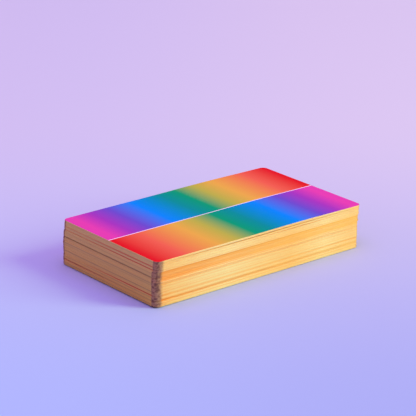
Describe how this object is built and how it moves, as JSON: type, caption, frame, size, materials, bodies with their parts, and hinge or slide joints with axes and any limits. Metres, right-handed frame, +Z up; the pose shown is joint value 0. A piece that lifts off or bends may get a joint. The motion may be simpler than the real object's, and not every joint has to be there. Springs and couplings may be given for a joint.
{
  "type": "oracle card deck",
  "caption": "Stack of gilt-edged, round-cornered oracle cards lying with their printed backs up; each card slides over the one beneath, and the top card draws clear.",
  "frame": {"origin": "middle of the bottom card's underside, on the table", "axes": "+X along the cards' length, +Y across their width, +Z up through the stack to the printed backs"},
  "size_m": [0.1217, 0.0707, 0.0207],
  "materials": {
    "printed_card": "satin",
    "gilt_card": "satin"
  },
  "bodies": {
    "card_01_top": {"card_01_top": "printed_card"},
    "card_02": {"card_02": "gilt_card"},
    "card_03": {"card_03": "gilt_card"},
    "card_04": {"card_04": "gilt_card"},
    "card_05": {"card_05": "gilt_card"},
    "card_06": {"card_06": "gilt_card"},
    "card_07": {"card_07": "gilt_card"},
    "card_08": {"card_08": "gilt_card"},
    "card_09": {"card_09": "gilt_card"},
    "card_10": {"card_10": "gilt_card"},
    "card_11": {"card_11": "gilt_card"},
    "card_12": {"card_12": "gilt_card"},
    "card_13": {"card_13": "gilt_card"},
    "card_14": {"card_14": "gilt_card"},
    "card_15": {"card_15": "gilt_card"},
    "card_16": {"card_16": "gilt_card"},
    "card_17": {"card_17": "gilt_card"},
    "card_18": {"card_18": "gilt_card"},
    "card_19": {"card_19": "gilt_card"},
    "card_20": {"card_20": "gilt_card"},
    "card_21": {"card_21": "gilt_card"},
    "card_22": {"card_22": "gilt_card"},
    "card_23": {"card_23": "gilt_card"},
    "card_24": {"card_24": "gilt_card"},
    "card_25": {"card_25": "gilt_card"},
    "card_26": {"card_26": "gilt_card"},
    "card_27": {"card_27": "gilt_card"},
    "card_28": {"card_28": "gilt_card"},
    "card_29": {"card_29": "gilt_card"},
    "card_30": {"card_30": "gilt_card"},
    "card_31": {"card_31": "gilt_card"},
    "card_32": {"card_32": "gilt_card"},
    "card_33": {"card_33": "gilt_card"},
    "card_34": {"card_34": "gilt_card"},
    "card_35": {"card_35": "gilt_card"},
    "card_36": {"card_36": "gilt_card"},
    "card_37": {"card_37": "gilt_card"},
    "card_38": {"card_38": "gilt_card"},
    "card_39": {"card_39": "gilt_card"},
    "card_40": {"card_40": "gilt_card"},
    "card_41": {"card_41": "gilt_card"},
    "card_42": {"card_42": "gilt_card"},
    "card_43": {"card_43": "gilt_card"},
    "card_44_bottom": {"card_44_bottom": "gilt_card"}
  },
  "joints": [
    {"name": "card_01_draw", "type": "slide", "parent": "card_02", "child": "card_01_top", "axis": [0, -1, 0], "range_m": [-0.075, 0.075]},
    {"name": "card_02_slide", "type": "slide", "parent": "card_03", "child": "card_02", "axis": [0, -1, 0], "range_m": [-0.035, 0.035]},
    {"name": "card_03_slide", "type": "slide", "parent": "card_04", "child": "card_03", "axis": [0, -1, 0], "range_m": [-0.035, 0.035]},
    {"name": "card_04_slide", "type": "slide", "parent": "card_05", "child": "card_04", "axis": [0, -1, 0], "range_m": [-0.035, 0.035]},
    {"name": "card_05_slide", "type": "slide", "parent": "card_06", "child": "card_05", "axis": [0, -1, 0], "range_m": [-0.035, 0.035]},
    {"name": "card_06_slide", "type": "slide", "parent": "card_07", "child": "card_06", "axis": [0, -1, 0], "range_m": [-0.035, 0.035]},
    {"name": "card_07_slide", "type": "slide", "parent": "card_08", "child": "card_07", "axis": [0, -1, 0], "range_m": [-0.035, 0.035]},
    {"name": "card_08_slide", "type": "slide", "parent": "card_09", "child": "card_08", "axis": [0, -1, 0], "range_m": [-0.035, 0.035]},
    {"name": "card_09_slide", "type": "slide", "parent": "card_10", "child": "card_09", "axis": [0, -1, 0], "range_m": [-0.035, 0.035]},
    {"name": "card_10_slide", "type": "slide", "parent": "card_11", "child": "card_10", "axis": [0, -1, 0], "range_m": [-0.035, 0.035]},
    {"name": "card_11_slide", "type": "slide", "parent": "card_12", "child": "card_11", "axis": [0, -1, 0], "range_m": [-0.035, 0.035]},
    {"name": "card_12_slide", "type": "slide", "parent": "card_13", "child": "card_12", "axis": [0, -1, 0], "range_m": [-0.035, 0.035]},
    {"name": "card_13_slide", "type": "slide", "parent": "card_14", "child": "card_13", "axis": [0, -1, 0], "range_m": [-0.035, 0.035]},
    {"name": "card_14_slide", "type": "slide", "parent": "card_15", "child": "card_14", "axis": [0, -1, 0], "range_m": [-0.035, 0.035]},
    {"name": "card_15_slide", "type": "slide", "parent": "card_16", "child": "card_15", "axis": [0, -1, 0], "range_m": [-0.035, 0.035]},
    {"name": "card_16_slide", "type": "slide", "parent": "card_17", "child": "card_16", "axis": [0, -1, 0], "range_m": [-0.035, 0.035]},
    {"name": "card_17_slide", "type": "slide", "parent": "card_18", "child": "card_17", "axis": [0, -1, 0], "range_m": [-0.035, 0.035]},
    {"name": "card_18_slide", "type": "slide", "parent": "card_19", "child": "card_18", "axis": [0, -1, 0], "range_m": [-0.035, 0.035]},
    {"name": "card_19_slide", "type": "slide", "parent": "card_20", "child": "card_19", "axis": [0, -1, 0], "range_m": [-0.035, 0.035]},
    {"name": "card_20_slide", "type": "slide", "parent": "card_21", "child": "card_20", "axis": [0, -1, 0], "range_m": [-0.035, 0.035]},
    {"name": "card_21_slide", "type": "slide", "parent": "card_22", "child": "card_21", "axis": [0, -1, 0], "range_m": [-0.035, 0.035]},
    {"name": "card_22_slide", "type": "slide", "parent": "card_23", "child": "card_22", "axis": [0, -1, 0], "range_m": [-0.035, 0.035]},
    {"name": "card_23_slide", "type": "slide", "parent": "card_24", "child": "card_23", "axis": [0, -1, 0], "range_m": [-0.035, 0.035]},
    {"name": "card_24_slide", "type": "slide", "parent": "card_25", "child": "card_24", "axis": [0, -1, 0], "range_m": [-0.035, 0.035]},
    {"name": "card_25_slide", "type": "slide", "parent": "card_26", "child": "card_25", "axis": [0, -1, 0], "range_m": [-0.035, 0.035]},
    {"name": "card_26_slide", "type": "slide", "parent": "card_27", "child": "card_26", "axis": [0, -1, 0], "range_m": [-0.035, 0.035]},
    {"name": "card_27_slide", "type": "slide", "parent": "card_28", "child": "card_27", "axis": [0, -1, 0], "range_m": [-0.035, 0.035]},
    {"name": "card_28_slide", "type": "slide", "parent": "card_29", "child": "card_28", "axis": [0, -1, 0], "range_m": [-0.035, 0.035]},
    {"name": "card_29_slide", "type": "slide", "parent": "card_30", "child": "card_29", "axis": [0, -1, 0], "range_m": [-0.035, 0.035]},
    {"name": "card_30_slide", "type": "slide", "parent": "card_31", "child": "card_30", "axis": [0, -1, 0], "range_m": [-0.035, 0.035]},
    {"name": "card_31_slide", "type": "slide", "parent": "card_32", "child": "card_31", "axis": [0, -1, 0], "range_m": [-0.035, 0.035]},
    {"name": "card_32_slide", "type": "slide", "parent": "card_33", "child": "card_32", "axis": [0, -1, 0], "range_m": [-0.035, 0.035]},
    {"name": "card_33_slide", "type": "slide", "parent": "card_34", "child": "card_33", "axis": [0, -1, 0], "range_m": [-0.035, 0.035]},
    {"name": "card_34_slide", "type": "slide", "parent": "card_35", "child": "card_34", "axis": [0, -1, 0], "range_m": [-0.035, 0.035]},
    {"name": "card_35_slide", "type": "slide", "parent": "card_36", "child": "card_35", "axis": [0, -1, 0], "range_m": [-0.035, 0.035]},
    {"name": "card_36_slide", "type": "slide", "parent": "card_37", "child": "card_36", "axis": [0, -1, 0], "range_m": [-0.035, 0.035]},
    {"name": "card_37_slide", "type": "slide", "parent": "card_38", "child": "card_37", "axis": [0, -1, 0], "range_m": [-0.035, 0.035]},
    {"name": "card_38_slide", "type": "slide", "parent": "card_39", "child": "card_38", "axis": [0, -1, 0], "range_m": [-0.035, 0.035]},
    {"name": "card_39_slide", "type": "slide", "parent": "card_40", "child": "card_39", "axis": [0, -1, 0], "range_m": [-0.035, 0.035]},
    {"name": "card_40_slide", "type": "slide", "parent": "card_41", "child": "card_40", "axis": [0, -1, 0], "range_m": [-0.035, 0.035]},
    {"name": "card_41_slide", "type": "slide", "parent": "card_42", "child": "card_41", "axis": [0, -1, 0], "range_m": [-0.035, 0.035]},
    {"name": "card_42_slide", "type": "slide", "parent": "card_43", "child": "card_42", "axis": [0, -1, 0], "range_m": [-0.035, 0.035]},
    {"name": "card_43_slide", "type": "slide", "parent": "card_44_bottom", "child": "card_43", "axis": [0, -1, 0], "range_m": [-0.035, 0.035]}
  ]
}
